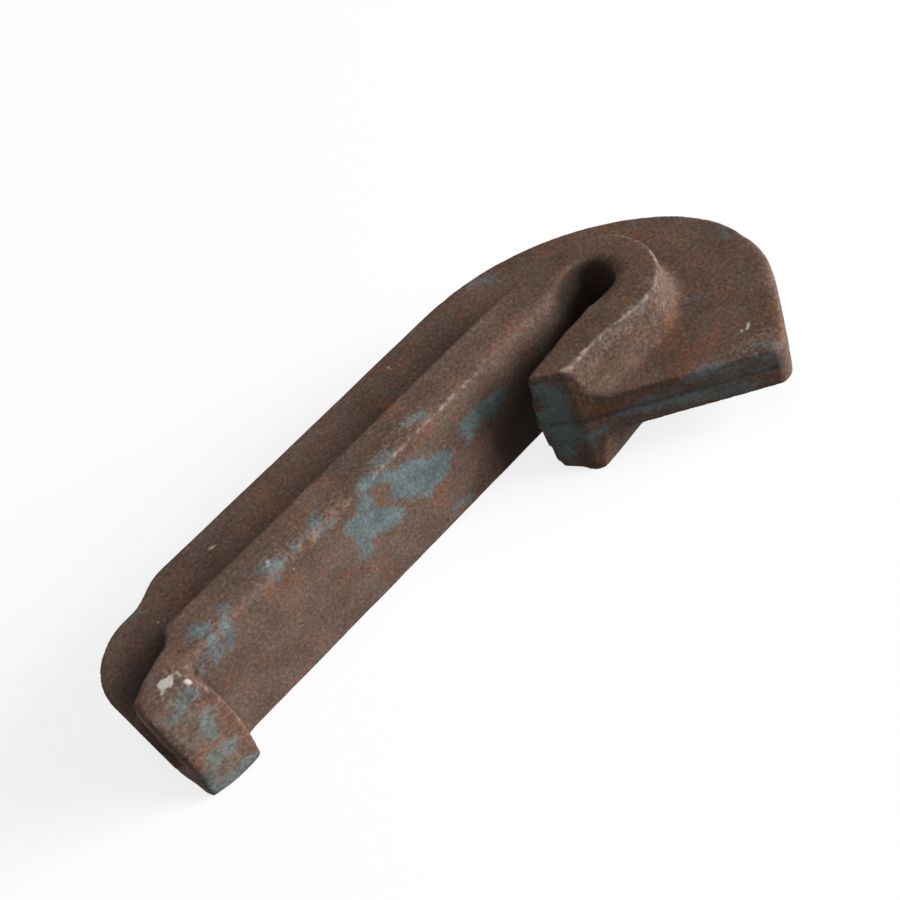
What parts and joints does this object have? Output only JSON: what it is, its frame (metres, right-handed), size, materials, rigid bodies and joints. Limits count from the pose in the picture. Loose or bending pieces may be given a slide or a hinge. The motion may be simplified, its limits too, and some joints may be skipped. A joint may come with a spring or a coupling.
{
  "type": "rail anchor",
  "caption": "Forged steel rail anchor: a hooked throat grips the near toe of a rail base, a flanged arm bears under the base and a raised lip locks on the far toe",
  "frame": {"origin": "middle of the rail seat, on the centre plane of the rail and on the parting plane of the forging", "axes": "+X runs along the arm from the hook to the lip, across the rail; +Y is the seat's normal, up into the rail base; +Z runs along the rail"},
  "size_m": [0.2005, 0.0902, 0.04],
  "materials": {
    "forged_steel": "rusted forging with worn blue-grey paint"
  },
  "bodies": {
    "root": {"rail_anchor": "forged_steel"}
  },
  "joints": []
}
